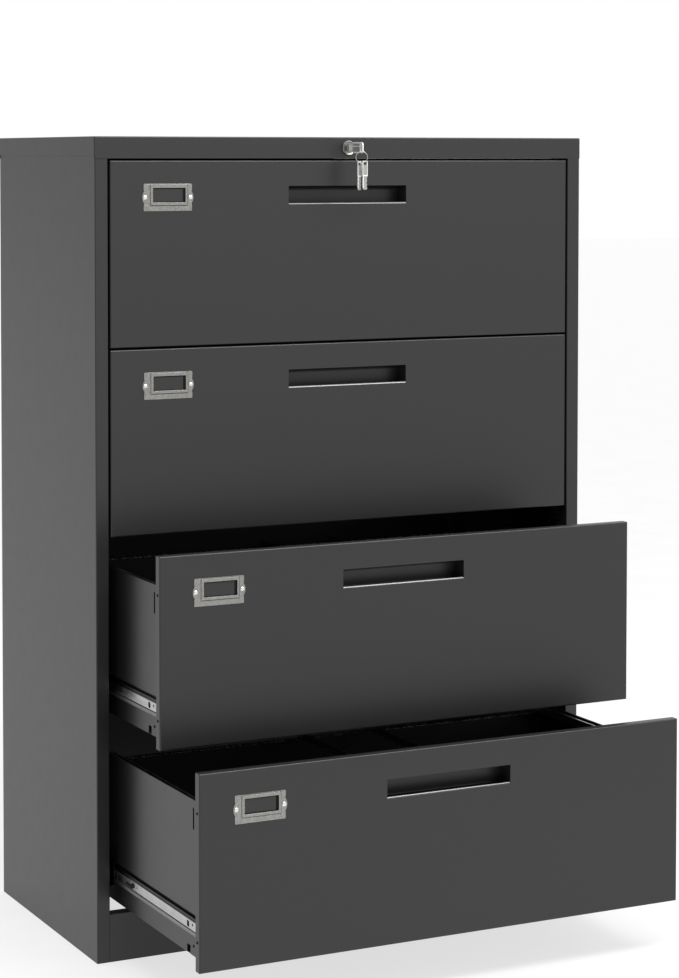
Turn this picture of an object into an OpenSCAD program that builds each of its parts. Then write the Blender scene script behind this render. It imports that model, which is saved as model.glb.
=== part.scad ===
// Four-drawer lateral filing cabinet of folded sheet steel, on full-extension slides, with one
// cam lock. Millimetres, +Z up, front towards -Y. The origin is on the floor, at the middle of
// the cabinet. Drawer 1 is the top one. Drawers 3 and 4 are modelled partly open.

/* [Cabinet] */
// Width over the top cap
cab_w = 900; // [700:10:1100]
// Depth over the top cap, front face to back
cab_d = 450; // [430:5:520]
// Sheet thickness of the body and drawers
sheet = 0.8; // [0.6:0.1:1.2]
// Height of the kick rail under the lowest drawer
kick_h = 78; // [60:1:100]
// Width of the folded stile at each side of the front
stile_w = 22; // [20:1:24]
// Depth of the stile's return behind the front face
stile_d = 20; // [15:1:24]

/* [Top cap] */
// Sheet thickness of the top cap
cap_t = 1; // [0.8:0.1:1.5]
// How far the cap stands proud of the body all round
cap_over = 1.3; // [1.2:0.1:2]
// Height of the cap's front and back lips
cap_lip = 35; // [33:1:45]
// Height of the cap's side lips
cap_side_lip = 30; // [20:1:35]

/* [Drawers] */
// Height of each drawer front
front_h = 298; // [290:1:320]
// Gap between two drawer fronts, and above and below them
front_gap = 3; // [2:0.5:4]
// Gap between a drawer front and the stile
side_gap = 3.6; // [3:0.1:5]
// Depth of the drawer front's folded edges
pan_d = 14.5; // [12:0.5:18]
// Slide travel from closed to fully open
travel = 400; // [350:10:400]
// How far drawer 3 stands open
open_3 = 197; // [0:1:350]
// How far drawer 4 stands open
open_4 = 345; // [0:1:350]

/* [Drawer box] */
// Side space taken by each slide
slide_space = 12.7; // [12.5:0.1:13]
// Bottom of the box above the bottom of its front
box_low = 12; // [10:1:20]
// Top of the box above the bottom of its front
box_high = 248; // [240:1:255]
// Back of the box behind the front's face
box_back = 402; // [400:1:408]

/* [Pull and label holder] */
// Width of the finger recess
pull_w = 218; // [150:1:260]
// Height of the finger recess
pull_h = 27; // [22:1:35]
// Top of the recess below the top of the front
pull_drop = 42; // [35:1:60]
// Depth of the recess
pull_d = 32; // [22:1:36]
// How far the recess's floor lies below its lower lip
pull_sink = 6; // [0:1:12]
// Width of the label holder's plate
label_w = 84; // [70:1:100]
// Height of the label holder's plate
label_h = 43.5; // [35:0.5:50]
// Middle of the label holder from the middle of the cabinet
label_x = -324; // [-340:1:-250]
// Middle of the label holder below the top of the front
label_drop = 59.2; // [50:0.1:80]

/* [Slides] */
// Height of the slide's outer member
slide_h = 45.5; // [44:0.5:46]
// Slide length
slide_l = 400; // [380:5:405]
// Middle of the slide above the bottom of the drawer front
slide_z = 59; // [55:1:65]
// Length of the slide's middle member
middle_l = 240; // [210:5:300]

/* [Lock] */
// Diameter of the lock's face
lock_face = 25; // [22:0.5:28]
// How far the lock bar drops when the key turns
bar_drop = 12; // [10:0.5:12]

/* [Hidden] */
COUNT = 4;
DRAWERS = [1:COUNT];
DRAWER_PARTS = ["front", "pull_cup", "label_holder", "front_fasteners", "drawer_sides",
    "inner_front", "drawer_bottom", "drawer_back", "hanger_rails", "slide_inner", "slide_middle"];
$fn = 32;

paint = [0.27, 0.27, 0.28];
dark_paint = [0.16, 0.16, 0.17];
zinc = [0.72, 0.73, 0.74];
nickel = [0.80, 0.80, 0.78];

opens = [0, 0, min(open_3, travel), min(open_4, travel)];
pitch = front_h + front_gap;
body_half = cab_w / 2 - cap_over;
face_y = -cab_d / 2 + cap_over;
body_back = cab_d / 2 - cap_over;
front_half = body_half - stile_w - side_gap;
cab_h = kick_h + COUNT * pitch + front_gap + cap_lip;
body_top = cab_h - cap_t;
touch = 0.3;

box_half = 411;
slide_y0 = 18;
ball_gap = 3.4;
member_t = 1.2;
thin_member_t = 1;
// How far from the box the flanges of the outer, middle and inner members reach
slide_lips = [3, 2, 4.5];
middle_web = 6.6;
post_w = 30;
post_d = [50, 390];
base_w = 25;
base_t = 1.5;

rail_t = 2;
rail_h = 12;
rail_drop = 2;
rail_x = [-400, -65, 65, 400];

label_t = 1;
bezel_t = 2.4;
window_w = 56.4;
window_h = 23.2;
// Middle of the window from the middle of the plate: it lies towards the top right
window_at = [1.9, 3.6];
rivet_x = label_w / 2 - 2.6;
rivet_r = 3.7;
ear_r = 5.1;
shank_r = 1.5;
hole_play = 0.1;
screw_r = 3.2;

lock_z = cab_h - cap_lip / 2;
lock_face_t = 3;
nut_r = 13;
nut_t = 4;
barrel_r = 9.5;
plug_r = 5.95;
plug_bore_r = 6;
barrel_l = 26;
blade_end = barrel_l - 5;
key_t = 2;
key_blade_h = 8;
bow_y0 = 14;
bow_l = 38;
bow_h = 18;
bow_r = 5;
bow_hole_r = 2.8;
bow_hole_y = 47;
bow_hole_z = -4.5;
ring_r = 9.5;
ring_wire = 0.8;
ring_drop = 1.7;
ring_turn = -25.9;
spare_l = 47;
spare_w = 10;
spare_blade_w = 9;
spare_t = 1.5;
spare_hole_r = 3.2;
spare_hang = 0.9;
// Place round the ring from its lowest point, and turn about the vertical, in degrees
spare_places = [[-23, 50], [34, 33]];
cam_l = 30;
cam_w = 12;
cam_t = 2.5;
cam_pin = 12;
cam_pin_r = 2.5;

catch_z = 150;
catch_y = 40;
catch_r = 4;
bar_x = 425;
bar_t = 2;
bar_w = 20;
bar_back = 7;
hook_t = 4;
hook_h = 12;
bar_pin_r = 3;
link_top = 6;
link_low = 18;
guide_z = 95;

function bottom_z(n) = kick_h + front_gap + (COUNT - n) * pitch;
function post_x() = box_half + slide_space;
bar_y = face_y + post_d[0] - bar_w - bar_back;

// Puts its children in the frame of drawer n: x from the middle, y back from the face, z up
// from the bottom edge of the front.
module in_drawer(n, share = 1) {
    translate([0, face_y - share * opens[n - 1], bottom_z(n)]) children();
}

module both_sides() {
    children();
    mirror([1, 0, 0]) children();
}

// A box given by its low and high corners
module block(low, high) {
    translate(low) cube(high - low);
}

// An open-backed pan: a face with four folded edges
module pan(half, height, depth, t) {
    difference() {
        block([-half, 0, 0], [half, depth, height]);
        block([-half + t, t, t], [half - t, depth + 1, height - t]);
    }
}

// --- cabinet ---

module top_cap() {
    color(paint) difference() {
        block([-cab_w / 2, -cab_d / 2, cab_h - cap_lip], [cab_w / 2, cab_d / 2, cab_h]);
        block([-cab_w / 2 + cap_t, -cab_d / 2 + cap_t, cab_h - cap_lip - 1],
              [cab_w / 2 - cap_t, cab_d / 2 - cap_t, cab_h - cap_t]);
        for (side = [-1, 1])
            translate([side * cab_w / 2, 0, cab_h - cap_lip])
                cube([4 * cap_t, cab_d - 2 * cap_t, 2 * (cap_lip - cap_side_lip)], center = true);
        translate([0, -cab_d / 2, lock_z]) rotate([90, 0, 0])
            cylinder(h = 4 * cap_t, r = barrel_r + hole_play, center = true);
    }
}

// The side panel is one sheet, folded at the front into the stile and at the back into a flange.
module side_panel() {
    back_flange = 15;
    fold = [
        [body_half, face_y], [body_half, body_back], [body_half - back_flange, body_back],
        [body_half - back_flange, body_back - sheet], [body_half - sheet, body_back - sheet],
        [body_half - sheet, face_y + sheet], [body_half - stile_w + sheet, face_y + sheet],
        [body_half - stile_w + sheet, face_y + stile_d], [body_half - stile_w, face_y + stile_d],
        [body_half - stile_w, face_y]
    ];
    color(paint) linear_extrude(body_top) polygon(fold);
}
module side_panel_left() { mirror([1, 0, 0]) side_panel(); }
module side_panel_right() { side_panel(); }

module back_panel() {
    color(paint)
        block([-body_half + sheet, body_back - 2 * sheet, base_t],
              [body_half - sheet, body_back - sheet, body_top]);
}

module kick_rail() {
    half = body_half - stile_w;
    fold_down = 12;
    color(paint) translate([0, face_y, 0]) {
        block([-half, 0, 0], [half, sheet, kick_h]);
        block([-half, 0, kick_h - sheet], [half, stile_d, kick_h]);
        block([-half, stile_d - sheet, kick_h - fold_down], [half, stile_d, kick_h]);
    }
}

// Welded ring of angle: its flat foot is what the cabinet stands on.
module base_frame() {
    x1 = body_half - sheet;
    y0 = face_y + stile_d;
    y1 = body_back - 2 * sheet;
    color(dark_paint) difference() {
        block([-x1, y0, 0], [x1, y1, base_w]);
        block([-x1 + base_t, y0 + base_t, base_t], [x1 - base_t, y1 - base_t, base_w + 1]);
        block([-x1 + base_w, y0 + base_w, -1], [x1 - base_w, y1 - base_w, base_w]);
    }
}

// Four channel uprights carry the outer slide members. The front right one has two guides
// for the lock bar.
module slide_posts() {
    depth = body_half - sheet - post_x();
    low = base_w;
    high = lock_z - link_low - 2;
    guide_gap = 0.4;
    guide_h = 18;
    wall = member_t + guide_gap;
    color(dark_paint) {
        both_sides() for (y = post_d)
            translate([post_x(), face_y + y, low]) difference() {
                cube([depth, post_w, high - low]);
                translate([member_t, member_t, -1])
                    cube([depth, post_w - 2 * member_t, high - low + 2]);
            }
        for (n = [1, COUNT])
            translate([bar_x, bar_y, bottom_z(n) + guide_z]) difference() {
                translate([-wall, -wall, 0]) cube([bar_t + 2 * wall, bar_w + bar_back + wall, guide_h]);
                translate([-guide_gap, -guide_gap, -1])
                    cube([bar_t + 2 * guide_gap, bar_w + 2 * guide_gap, guide_h + 2]);
            }
    }
}

// One channel-shaped slide member: x_web is its flat back, x_lip the edge of its two flanges.
module slide_member(x_web, x_lip, height, t, y0, y1) {
    web = x_lip < x_web ? -t : t;
    block([min(x_web, x_web + web), y0, -height / 2], [max(x_web, x_web + web), y1, height / 2]);
    for (z = [-height / 2, height / 2 - t])
        block([min(x_web, x_lip), y0, z], [max(x_web, x_lip), y1, z + t]);
}

module slides_outer() {
    color(zinc) both_sides() for (n = DRAWERS)
        translate([0, face_y + slide_y0, bottom_z(n) + slide_z])
            slide_member(post_x(), box_half + slide_lips[0], slide_h, member_t, 0, slide_l);
}

// --- drawers ---

module front(n) {
    pull_z = front_h - pull_drop - pull_h;
    label_z = front_h - label_drop;
    color(paint) in_drawer(n) difference() {
        pan(front_half, front_h, pan_d, sheet);
        block([-pull_w / 2, -1, pull_z], [pull_w / 2, 2 * sheet, pull_z + pull_h]);
        for (side = [-1, 1])
            translate([label_x + side * rivet_x, 0, label_z]) rotate([90, 0, 0])
                cylinder(h = 4 * sheet, r = shank_r + hole_play, center = true);
    }
}

// The recess behind the front: behind its lip the floor lies deeper, and curves up into the back.
module pull_cup(n) {
    lip = 3;
    floor_l = pull_d * 0.45;
    rise = pull_h * 0.6 + pull_sink;
    inner = concat(
        [[0, 0], [lip, 0], [lip, -pull_sink]],
        [for (a = [0:10:90])
            [floor_l + (pull_d - sheet - floor_l) * sin(a), rise * (1 - cos(a)) - pull_sink]],
        [[pull_d - sheet, pull_h], [0, pull_h]]);
    flange = 6;
    color(paint) in_drawer(n) translate([0, sheet, front_h - pull_drop - pull_h])
        difference() {
            union() {
                block([-pull_w / 2 - sheet, 0, -pull_sink - sheet],
                      [pull_w / 2 + sheet, pull_d, pull_h + sheet]);
                block([-pull_w / 2 - flange, 0, -flange], [pull_w / 2 + flange, sheet, pull_h + flange]);
            }
            translate([-pull_w / 2, 0, 0]) rotate([90, 0, 90]) linear_extrude(pull_w) polygon(inner);
            block([-pull_w / 2, -1, 0], [pull_w / 2, 1, pull_h]);
        }
}

// Plate with a raised frame round its window, and a hole in each ear.
module label_holder(n) {
    frame_w = 4.6;
    color(nickel) in_drawer(n)
        translate([label_x, 0, front_h - label_drop]) rotate([90, 0, 0]) difference() {
            union() {
                linear_extrude(label_t) {
                    square([label_w, label_h], center = true);
                    for (side = [-1, 1]) translate([side * rivet_x, 0]) circle(r = ear_r);
                }
                translate(window_at) linear_extrude(bezel_t)
                    square([window_w + 2 * frame_w, window_h + 2 * frame_w], center = true);
            }
            translate([window_at[0], window_at[1], -1]) linear_extrude(bezel_t + 2)
                square([window_w, window_h], center = true);
            for (side = [-1, 1]) translate([side * rivet_x, 0, -1])
                cylinder(h = bezel_t + 2, r = shank_r + hole_play);
        }
}

// Two label rivets, four screws through the folded edges of the front into the box, and the
// stud that the lock bar's hook catches.
module front_fasteners(n) {
    rivet_head = 1.4;
    screw_head = 1;
    screw_y = 8;
    screw_z = [48, front_h - 60];
    stud_l = slide_space - 1;
    color(nickel) in_drawer(n) {
        for (side = [-1, 1])
            translate([label_x + side * rivet_x, 0, front_h - label_drop]) rotate([90, 0, 0]) {
                translate([0, 0, label_t]) cylinder(h = rivet_head, r1 = rivet_r, r2 = rivet_r * 0.6);
                translate([0, 0, -2]) cylinder(h = label_t + 2, r = shank_r);
            }
        for (side = [-1, 1], z = screw_z)
            translate([side * front_half, screw_y, z]) rotate([0, 90, 0])
                translate([0, 0, side > 0 ? 0 : -screw_head]) cylinder(h = screw_head, r = screw_r);
        translate([box_half, catch_y, catch_z]) rotate([0, 90, 0])
            cylinder(h = stud_l, r = catch_r);
    }
}

// Each side has a hem along its top edge, and steps out at the front to screw inside the front's
// folded edge.
module drawer_sides(n) {
    hem = 2;
    hem_h = 10;
    tab_x = front_half - sheet;
    tab_y = 2;
    tab_z = [22, front_h - 50];
    color(paint) in_drawer(n) both_sides() {
        block([box_half - sheet, pan_d, box_low], [box_half, box_back, box_high]);
        block([box_half - hem, pan_d, box_high - hem_h], [box_half - sheet, box_back, box_high]);
        block([box_half, pan_d, tab_z[0]], [tab_x, pan_d + sheet, tab_z[1]]);
        block([tab_x - sheet, tab_y, tab_z[0]], [tab_x, pan_d + sheet, tab_z[1]]);
    }
}

module inner_front(n) {
    inside = box_half - sheet;
    under_pull = 9;
    high = front_h - pull_drop - pull_h - pull_sink - under_pull;
    color(dark_paint) in_drawer(n)
        block([-inside, pan_d, box_low + sheet], [inside, pan_d + sheet, high]);
}

module drawer_bottom(n) {
    inside = box_half - sheet;
    color(dark_paint) in_drawer(n)
        block([-inside, pan_d, box_low], [inside, box_back, box_low + sheet]);
}

module drawer_back(n) {
    inside = box_half - sheet;
    color(dark_paint) in_drawer(n)
        block([-inside, box_back - sheet, box_low + sheet],
              [inside, box_back, box_high - rail_h - rail_drop]);
}

// Four rails on edge run front to back, on two cross bars between the sides.
module hanger_rails(n) {
    inside = box_half - sheet;
    top = box_high - rail_drop;
    bar_d = 10;
    behind_pull = 3;
    y0 = sheet + pull_d + behind_pull;
    y1 = box_back - sheet;
    color(zinc) in_drawer(n) {
        for (x = rail_x)
            block([x - rail_t / 2, y0, top - rail_h], [x + rail_t / 2, y1, top]);
        for (y = [y0, y1 - bar_d])
            block([-inside, y, top - rail_h - rail_t], [inside, y + bar_d, top - rail_h]);
    }
}

module slide_inner(n) {
    height = slide_h - 4 * (member_t + ball_gap);
    color(zinc) in_drawer(n) both_sides()
        translate([0, slide_y0, slide_z])
            slide_member(box_half, box_half + slide_lips[2], height, thin_member_t, 0, slide_l);
}

// The middle member of both slides, which travels half as far as the drawer.
module slide_middle(n) {
    height = slide_h - 2 * (member_t + ball_gap / 2);
    color(zinc) in_drawer(n, 0.5) both_sides()
        translate([0, slide_y0, slide_z])
            slide_member(box_half + middle_web, box_half + slide_lips[1], height, thin_member_t,
                         slide_l - middle_l, slide_l);
}

// --- lock ---

module at_lock() { translate([0, -cab_d / 2, lock_z]) children(); }

// A cylinder along Y: from y0 to y1, either way round
module along_y(r, y0, y1) {
    translate([0, y1, 0]) rotate([90, 0, 0]) cylinder(h = y1 - y0, r = r);
}

module lock_cylinder() {
    color(nickel) at_lock() {
        difference() {
            union() {
                along_y(lock_face / 2, -lock_face_t, 0);
                along_y(barrel_r, -1, barrel_l);
            }
            along_y(plug_bore_r, -lock_face_t - 1, barrel_l + 1);
        }
        difference() {
            along_y(nut_r, cap_t, cap_t + nut_t);
            along_y(barrel_r + hole_play, 0, cap_t + nut_t + 1);
        }
    }
}

// The plug stands a little proud of the lock's face, and its slot is a little longer than the key
module lock_plug() {
    proud = 0.4;
    slot_x = (key_t + touch) / 2;
    slot_z = (key_blade_h + touch) / 2;
    color(nickel) at_lock() difference() {
        along_y(plug_r, -lock_face_t - proud, barrel_l + touch);
        block([-slot_x, -lock_face_t - proud - 1, -slot_z], [slot_x, blade_end + 1, slot_z]);
    }
}

module lock_cam() {
    y0 = barrel_l + touch;
    color(zinc) at_lock() {
        block([-cam_w / 2, y0, -cam_w / 2], [cam_l, y0 + cam_t, cam_w / 2]);
        translate([cam_pin, 0, 0]) along_y(cam_pin_r, y0 + cam_t, y0 + cam_t + 4);
    }
}

module key() {
    color(nickel) at_lock() {
        block([-key_t / 2, -bow_y0, -key_blade_h / 2], [key_t / 2, blade_end, key_blade_h / 2]);
        translate([-key_t / 2, 0, 0]) rotate([90, 0, 90]) linear_extrude(key_t) difference() {
            union() {
                for (y = [-bow_y0 - bow_r, -bow_y0 - bow_l + bow_r], z = [-1, 1])
                    translate([y, z * (bow_h / 2 - bow_r)]) circle(r = bow_r);
                translate([-bow_y0 - bow_l, -bow_h / 2 + bow_r]) square([bow_l, bow_h - 2 * bow_r]);
                translate([-bow_y0 - bow_l + bow_r, -bow_h / 2]) square([bow_l - 2 * bow_r, bow_h]);
            }
            translate([-bow_hole_y, bow_hole_z]) circle(r = bow_hole_r);
        }
    }
}

// The ring hangs from the bow's hole, in a plane turned a little from the front.
module at_ring() {
    at_lock() translate([0, -bow_hole_y, bow_hole_z - ring_drop - ring_r])
        rotate([0, 0, ring_turn]) children();
}

// A ring with two spare keys, which hang from its low side
module key_bunch() {
    color(nickel) at_ring() {
        rotate([90, 0, 0]) rotate_extrude() translate([ring_r, 0]) circle(r = ring_wire, $fn = 16);
        for (place = spare_places)
            translate([ring_r * sin(place[0]), 0, -ring_r * cos(place[0]) - spare_hang])
                rotate([90, 0, place[1]]) translate([0, 0, -spare_t / 2]) linear_extrude(spare_t)
                    spare_outline();
    }
}

module spare_outline() {
    top = 4;
    head_h = 18;
    difference() {
        union() {
            translate([-spare_w / 2, top - head_h]) square([spare_w, head_h]);
            translate([-spare_blade_w / 2, top - spare_l]) square([spare_blade_w, spare_l]);
        }
        circle(r = spare_hole_r);
    }
}

// The cam's pin moves the link sideways; the link's sloping slot moves the bar down as far.
module lock_link() {
    y0 = barrel_l + cam_t + 1;
    plate = 2;
    play = 0.4;
    slack = 2.6;
    pin = cam_pin_r + play;
    bar_pin = bar_pin_r + play;
    reach = bar_drop * sqrt(2);
    color(zinc) at_lock() difference() {
        block([-cam_pin, y0, -link_low], [bar_x + bar_drop + 6, y0 + plate, link_top]);
        block([cam_pin - pin, y0 - 1, -cam_pin - pin], [cam_pin + pin + slack, y0 + plate + 1, pin]);
        translate([bar_x + (bar_t + bar_drop) / 2, y0 + plate / 2, -bar_drop / 2]) rotate([0, -45, 0])
            cube([2 * bar_pin, plate + 2, reach + 2 * bar_pin], center = true);
    }
}

// Flat bar in two guides, narrower at the top, where its pin runs in the link's slot
module lock_bar() {
    low = bottom_z(COUNT) + 30;
    pin_y = barrel_l + cam_t;
    neck_y = -cab_d / 2 + pin_y + 4.5;
    color(zinc) {
        block([bar_x, bar_y, low], [bar_x + bar_t, bar_y + bar_w, lock_z - link_low - 3]);
        block([bar_x, neck_y, low], [bar_x + bar_t, bar_y + bar_w, lock_z + bar_pin_r]);
        translate([bar_x + bar_t / 2, 0, 0]) at_lock() along_y(bar_pin_r, pin_y, pin_y + 6);
    }
}

// One hook on the bar for each drawer's stud: it comes down in front of the stud
module lock_hooks() {
    hook_y = face_y + catch_y - catch_r - 2;
    hook_z = catch_z + catch_r + 4;
    color(zinc) for (n = DRAWERS)
        block([box_half + 3.5, hook_y - hook_t, bottom_z(n) + hook_z],
              [bar_x, hook_y, bottom_z(n) + hook_z + hook_h]);
}

top_cap();
side_panel_left();
side_panel_right();
back_panel();
kick_rail();
base_frame();
slide_posts();
slides_outer();
lock_cylinder();
lock_plug();
lock_cam();
key();
key_bunch();
lock_link();
lock_bar();
lock_hooks();
for (n = DRAWERS) {
    front(n);
    pull_cup(n);
    label_holder(n);
    front_fasteners(n);
    drawer_sides(n);
    inner_front(n);
    drawer_bottom(n);
    drawer_back(n);
    hanger_rails(n);
    slide_inner(n);
    slide_middle(n);
}
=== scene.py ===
import math

import bmesh
import bpy
from mathutils import Matrix, Vector


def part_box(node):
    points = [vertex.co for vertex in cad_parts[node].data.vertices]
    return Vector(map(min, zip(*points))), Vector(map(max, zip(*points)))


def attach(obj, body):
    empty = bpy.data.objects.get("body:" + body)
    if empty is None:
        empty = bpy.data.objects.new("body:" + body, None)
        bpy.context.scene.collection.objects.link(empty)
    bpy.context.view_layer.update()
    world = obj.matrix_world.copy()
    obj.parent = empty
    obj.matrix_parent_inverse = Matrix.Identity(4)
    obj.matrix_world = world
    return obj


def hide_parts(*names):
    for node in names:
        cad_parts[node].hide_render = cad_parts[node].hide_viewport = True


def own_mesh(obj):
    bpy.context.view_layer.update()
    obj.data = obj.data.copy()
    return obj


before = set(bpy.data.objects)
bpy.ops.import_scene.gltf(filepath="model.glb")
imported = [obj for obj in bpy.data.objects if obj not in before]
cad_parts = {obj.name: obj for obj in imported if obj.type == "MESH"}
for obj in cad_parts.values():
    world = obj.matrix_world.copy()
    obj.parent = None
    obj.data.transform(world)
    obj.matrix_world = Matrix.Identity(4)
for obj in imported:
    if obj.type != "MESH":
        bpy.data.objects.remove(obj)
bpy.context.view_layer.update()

# ---------------------------------------------------------------- sizes, in metres
MM = 0.001
SHEET = 0.8 * MM
BEND = 0.9 * MM
DRAWERS = (1, 2, 3, 4)

# The front's folds, and the pull's opening in it with its bevelled lip
FRONT_BEND = 1.5 * MM
PULL_FLANGE = 6 * MM
PULL_HEIGHT = 27 * MM
PULL_LIP = 2.6 * MM

# How far the inner slide member stands out, and how far its upper track ends below its CAD top
SLIDE_DEPTH = 4.5 * MM
UPPER_CUT = 1.6 * MM

# The ring's turn about the vertical, and each spare key's place on it and turn, in degrees
RING_TURN = -25.9
SPARE_PLACES = ((-23, 50), (34, 33))

# ---------------------------------------------------------------- camera
CAMERA_AT = (-1.9089, -3.9337, 1.2854)
CAMERA_PITCH = -2.5
CAMERA_YAW = 26.096
CAMERA_LENS_MM = 92.84908
CAMERA_SENSOR_MM = 36.0
CAMERA_SHIFT = (0.04208589, -0.22564417)


def make_camera():
    data = bpy.data.cameras.new("camera")
    data.sensor_width = CAMERA_SENSOR_MM
    data.lens = CAMERA_LENS_MM
    data.shift_x, data.shift_y = CAMERA_SHIFT
    data.clip_start, data.clip_end = 0.05, 60
    camera = bpy.data.objects.new("camera", data)
    camera.location = CAMERA_AT
    camera.rotation_euler = (math.radians(90 + CAMERA_PITCH), 0, -math.radians(CAMERA_YAW))
    bpy.context.collection.objects.link(camera)
    bpy.context.scene.camera = camera


# ---------------------------------------------------------------- light and floor
def aim(thing, target):
    thing.rotation_euler = (Vector(target) - thing.location).to_track_quat("-Z", "Y").to_euler()


def make_light(name, place, target, size, power, colour=(1, 1, 1)):
    data = bpy.data.lights.new(name, "AREA")
    data.shape = "RECTANGLE"
    data.size, data.size_y = size
    data.energy = power
    data.color = colour
    light = bpy.data.objects.new(name, data)
    light.location = place
    aim(light, target)
    bpy.context.collection.objects.link(light)
    return light


def make_world():
    """Soft white light from all round, dimmer from two sides on the left."""
    world = bpy.data.worlds.new("studio")
    world.use_nodes = True
    tree = world.node_tree
    add, link = tree.nodes.new, tree.links.new
    place = add("ShaderNodeTexCoord")

    def dimming(direction, start, level):
        """Fades from 1 to level as a ray comes near a direction, from its cosine start on."""
        side = add("ShaderNodeVectorMath")
        side.operation = "DOT_PRODUCT"
        side.inputs[1].default_value = direction
        link(place.outputs["Generated"], side.inputs[0])
        fade = add("ShaderNodeMapRange")
        fade.interpolation_type = "SMOOTHSTEP"
        fade.inputs["From Min"].default_value = start
        fade.inputs["From Max"].default_value = 0.95
        fade.inputs["To Min"].default_value = 1
        fade.inputs["To Max"].default_value = level
        link(side.outputs["Value"], fade.inputs["Value"])
        return fade.outputs["Result"]

    both = add("ShaderNodeMath")
    both.operation = "MULTIPLY"
    link(dimming((-0.86, -0.5, 0.0), 0.2, 0.25), both.inputs[0])
    link(dimming((-0.5, 0.86, 0.0), 0.3, 0.70), both.inputs[1])
    light = tree.nodes["Background"]
    light.inputs["Color"].default_value = (1, 1, 1, 1)
    link(both.outputs["Value"], light.inputs["Strength"])
    backdrop = add("ShaderNodeBackground")
    backdrop.inputs["Color"].default_value = (1, 1, 1, 1)
    seen = add("ShaderNodeLightPath")
    mix = add("ShaderNodeMixShader")
    link(seen.outputs["Is Camera Ray"], mix.inputs["Fac"])
    link(light.outputs["Background"], mix.inputs[1])
    link(backdrop.outputs["Background"], mix.inputs[2])
    link(mix.outputs["Shader"], tree.nodes["World Output"].inputs["Surface"])
    bpy.context.scene.world = world
    bpy.context.scene.view_settings.view_transform = "Standard"


def make_floor():
    """A white floor that glows, so that no more than a trace of shadow lies on it."""
    bpy.ops.mesh.primitive_plane_add(size=60, location=(0, 0, 0))
    floor = bpy.context.object
    floor.name = "floor"
    g = Graph("floor_white")
    g.feed(g.shades(g.noise(6.0, 3.0), (0.24, 0.24, 0.24), (0.27, 0.27, 0.27)), "Base Color")
    g.set(Roughness=0.9, Emission_Color=(1, 1, 1, 1), Emission_Strength=0.70)
    floor.data.materials.append(g.material)


def make_lights():
    """One broad soft light above and in front, for the upper edges and the lips of the pulls."""
    make_light("top_front", (0.3, -1.9, 3.1), (0, -0.3, 0.9), (3.4, 0.9), 110)


# ---------------------------------------------------------------- materials
class Graph:
    """A material's nodes, with short calls to add them."""

    def __init__(self, name):
        self.material = bpy.data.materials.new(name)
        self.material.use_nodes = True
        self.tree = self.material.node_tree
        self.shader = self.tree.nodes["Principled BSDF"]
        self.place = self.add("ShaderNodeTexCoord").outputs["Object"]

    def add(self, kind, **settings):
        node = self.tree.nodes.new(kind)
        for key, value in settings.items():
            setattr(node, key, value)
        return node

    def link(self, source, target):
        self.tree.links.new(source, target)

    def noise(self, scale, detail=2.0, stretch=None, rough=0.5):
        node = self.add("ShaderNodeTexNoise")
        node.inputs["Scale"].default_value = scale
        node.inputs["Detail"].default_value = detail
        node.inputs["Roughness"].default_value = rough
        source = self.place
        if stretch:
            mapping = self.add("ShaderNodeMapping")
            mapping.inputs["Scale"].default_value = stretch
            self.link(source, mapping.inputs["Vector"])
            source = mapping.outputs["Vector"]
        self.link(source, node.inputs["Vector"])
        return node.outputs["Fac"]

    def spread(self, source, low, high, start=0.3, stop=0.7):
        node = self.add("ShaderNodeMapRange")
        node.inputs["From Min"].default_value = start
        node.inputs["From Max"].default_value = stop
        node.inputs["To Min"].default_value = low
        node.inputs["To Max"].default_value = high
        self.link(source, node.inputs["Value"])
        return node.outputs["Result"]

    def shades(self, source, dark, light):
        node = self.add("ShaderNodeValToRGB")
        node.color_ramp.elements[0].position = 0.3
        node.color_ramp.elements[1].position = 0.7
        node.color_ramp.elements[0].color = (*dark, 1)
        node.color_ramp.elements[1].color = (*light, 1)
        self.link(source, node.inputs["Fac"])
        return node.outputs["Color"]

    def bump(self, source, distance, strength=1.0, under=None):
        node = self.add("ShaderNodeBump")
        node.inputs["Distance"].default_value = distance
        node.inputs["Strength"].default_value = strength
        self.link(source, node.inputs["Height"])
        if under is not None:
            self.link(under, node.inputs["Normal"])
        return node.outputs["Normal"]

    def set(self, **values):
        for key, value in values.items():
            self.shader.inputs[key.replace("_", " ")].default_value = value

    def feed(self, source, socket):
        self.link(source, self.shader.inputs[socket])


def tint(colour, factor):
    return tuple(c * factor for c in colour)


def powder_coat(name, colour, roughness, shine=0.55):
    """Satin powder coat: orange peel, a fine grain, faint clouds of colour and gloss."""
    g = Graph(name)
    peel = g.noise(420, 2.0)
    grain = g.noise(2600, 1.0)
    normal = g.bump(peel, 0.00005, 0.3)
    g.feed(g.bump(grain, 0.00002, 0.5, normal), "Normal")
    g.feed(g.shades(g.noise(3.5, 3.0), tint(colour, 0.97), tint(colour, 1.03)), "Base Color")
    g.feed(g.spread(g.noise(40.0, 3.0), roughness - 0.012, roughness + 0.012), "Roughness")
    g.set(Specular_IOR_Level=shine)
    return g.material


def plated(name, colour, roughness, streak, patch=60.0, depth=0.00003, metallic=1.0, mottle=0.08):
    """Bright plated steel: cloudy patches, with drawing lines along one axis."""
    g = Graph(name)
    lines = g.noise(260, 3.0, stretch=streak, rough=0.65)
    clouds = g.noise(patch, 4.0)
    g.feed(g.shades(clouds, tint(colour, 1 - mottle), tint(colour, 1 + mottle)), "Base Color")
    g.feed(g.spread(lines, roughness - 0.07, roughness + 0.09), "Roughness")
    g.feed(g.bump(lines, depth, 0.5), "Normal")
    g.set(Metallic=metallic)
    return g.material


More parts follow.
